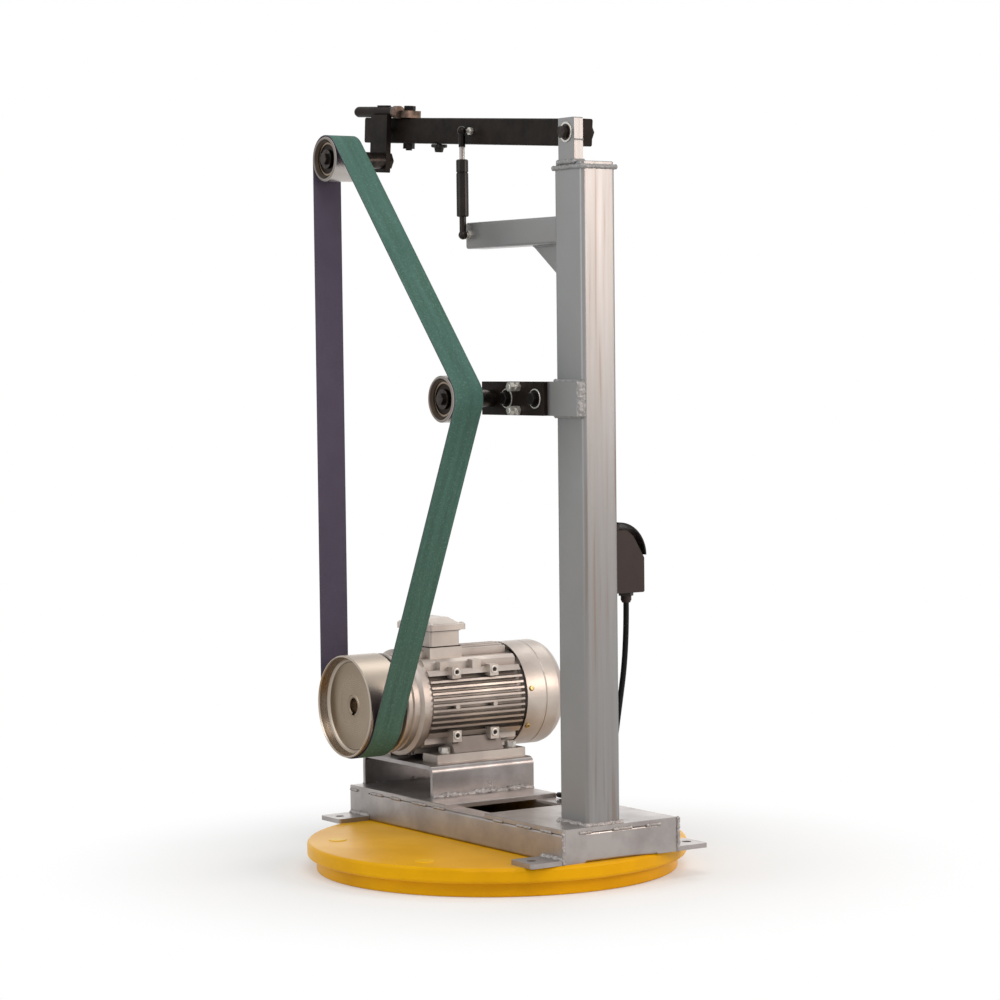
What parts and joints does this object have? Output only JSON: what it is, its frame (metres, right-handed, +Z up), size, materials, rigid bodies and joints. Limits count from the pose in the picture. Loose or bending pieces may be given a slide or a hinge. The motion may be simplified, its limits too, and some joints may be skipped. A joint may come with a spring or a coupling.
{
  "type": "vertical belt sander",
  "caption": "Upright belt grinder: motor-driven drive wheel, contact wheel on a post and a sprung idler arm carry a tall narrow sanding belt over a round floor stand.",
  "frame": {"origin": "on the floor, under the middle of the welded base frame", "axes": "+X along the base towards the column, -Y towards the belt side, +Z up"},
  "size_m": [0.647, 0.58, 1.1808],
  "materials": {
    "yellow_enamel": "gloss",
    "silver_paint": "satin",
    "grey_paint": "satin",
    "black_paint": "satin",
    "abrasive_cloth": "matte",
    "turned_steel": "satin",
    "cast_aluminium": "satin",
    "zinc_steel": "gloss",
    "black_oxide": "satin",
    "black_plastic": "matte",
    "green_plastic": "gloss",
    "red_plastic": "gloss",
    "rubber_lead": "matte",
    "core_steel": "matte"
  },
  "bodies": {
    "stand": {"floor_plinth": "yellow_enamel", "floor_disc": "yellow_enamel", "disc_plugs": "yellow_enamel", "rail_left": "silver_paint", "long_rails": "silver_paint", "rail_right": "silver_paint", "motor_deck": "silver_paint", "column_deck": "silver_paint", "anchor_lugs": "silver_paint", "motor_riser": "silver_paint", "column_tube": "grey_paint", "column_cap": "grey_paint", "pivot_cheek": "grey_paint", "spring_bracket": "grey_paint", "bracket_gusset": "grey_paint", "contact_bar": "grey_paint", "contact_plate": "black_paint", "sanding_belt": "abrasive_cloth", "motor_bearings": "turned_steel", "contact_axle": "turned_steel", "motor_frame": "cast_aluminium", "motor_feet": "cast_aluminium", "front_end_shield": "cast_aluminium", "rear_end_shield": "cast_aluminium", "fan_cowl": "cast_aluminium", "terminal_box": "cast_aluminium", "terminal_lid": "cast_aluminium", "jack_screws": "zinc_steel", "motor_foot_bolts": "zinc_steel", "lower_ball_stud": "zinc_steel", "pivot_bolt": "black_oxide", "contact_plate_bolts": "black_oxide", "switch_box": "black_plastic", "lead_glands": "black_plastic", "motor_lead": "rubber_lead", "stator": "core_steel"},
    "rotor": {"motor_shaft": "turned_steel", "shaft_key": "turned_steel", "rotor_core": "core_steel", "cooling_fan": "black_plastic", "drive_wheel": "turned_steel"},
    "contact_roller": {"contact_wheel": "turned_steel", "contact_bearings": "turned_steel"},
    "arm": {"tension_arm": "black_paint", "hinge_strap": "black_paint", "hinge_pin": "turned_steel", "strap_bolt": "black_oxide", "upper_ball_stud": "zinc_steel"},
    "knob": {"arm_knob": "black_plastic"},
    "tracking": {"tracking_screw": "zinc_steel"},
    "hanger": {"hanger_plate": "black_paint", "hinge_barrel": "black_paint", "idler_axle": "turned_steel"},
    "idler_roller": {"idler_wheel": "turned_steel", "idler_bearings": "turned_steel"},
    "strut_tube": {"strut_cylinder": "black_paint"},
    "strut_piston": {"strut_rod": "turned_steel"},
    "flap": {"switch_flap": "black_plastic"},
    "start": {"start_button": "green_plastic"},
    "stop": {"stop_button": "red_plastic"}
  },
  "joints": [
    {"name": "rotor_spin", "type": "hinge", "parent": "stand", "child": "rotor", "pos_m": [-0.201, 0, 0.234], "axis": [0, 1, 0], "continuous": true},
    {"name": "contact_spin", "type": "hinge", "parent": "stand", "child": "contact_roller", "pos_m": [0.076, 0, 0.716], "axis": [0, 1, 0], "continuous": true},
    {"name": "arm_swing", "type": "hinge", "parent": "stand", "child": "arm", "pos_m": [0.248, 0, 1.102], "axis": [0, -1, 0], "range_deg": [0, 2.8], "stiffness_Nm_per_rad": 80, "springref_deg": -34.38, "deforming": ["sanding_belt"]},
    {"name": "hanger_tilt", "type": "hinge", "parent": "arm", "child": "hanger", "pos_m": [-0.28658, -0.0467, 1.16889], "axis": [0.9974, 0, -0.0715], "range_deg": [-1, 1], "deforming": ["sanding_belt"]},
    {"name": "idler_spin", "type": "hinge", "parent": "hanger", "child": "idler_roller", "pos_m": [-0.24919, 0, 1.08912], "axis": [0, 1, 0], "continuous": true},
    {"name": "tracking_slide", "type": "slide", "parent": "arm", "child": "tracking", "axis": [0, 1, 0], "range_m": [-0.0006, 0.0006]},
    {"name": "knob_turn", "type": "hinge", "parent": "arm", "child": "knob", "pos_m": [-0.1294, -0.028, 1.10299], "axis": [0.0715, 0, 0.9974], "range_deg": [-180, 180]},
    {"name": "strut_swing", "type": "hinge", "parent": "stand", "child": "strut_tube", "pos_m": [-0.024, -0.055, 0.9635], "axis": [0, -1, 0], "range_deg": [0, 0.4]},
    {"name": "strut_stroke", "type": "slide", "parent": "strut_tube", "child": "strut_piston", "axis": [0, 0, -1], "range_m": [0, 0.0136]},
    {"name": "flap_swing", "type": "hinge", "parent": "stand", "child": "flap", "pos_m": [0.252, 0.012, 0.53], "axis": [1, 0, 0], "range_deg": [0, 75]},
    {"name": "start_press", "type": "slide", "parent": "stand", "child": "start", "axis": [0, -1, 0], "range_m": [0, 0.003], "stiffness_N_per_m": 500, "springref_m": -0.003},
    {"name": "stop_press", "type": "slide", "parent": "stand", "child": "stop", "axis": [0, -0.8552, -0.5183], "range_m": [0, 0.003], "stiffness_N_per_m": 500, "springref_m": -0.003}
  ],
  "couplings": [
    {"joint": "contact_spin", "follows": "rotor_spin", "ratio": 2.2857},
    {"joint": "idler_spin", "follows": "rotor_spin", "ratio": 2.2857},
    {"joint": "strut_swing", "follows": "arm_swing", "ratio": 0.095},
    {"joint": "strut_stroke", "follows": "arm_swing", "m_per_rad": 0.2723},
    {"joint": "tracking_slide", "follows": "hanger_tilt", "m_per_rad": 0.0285}
  ]
}
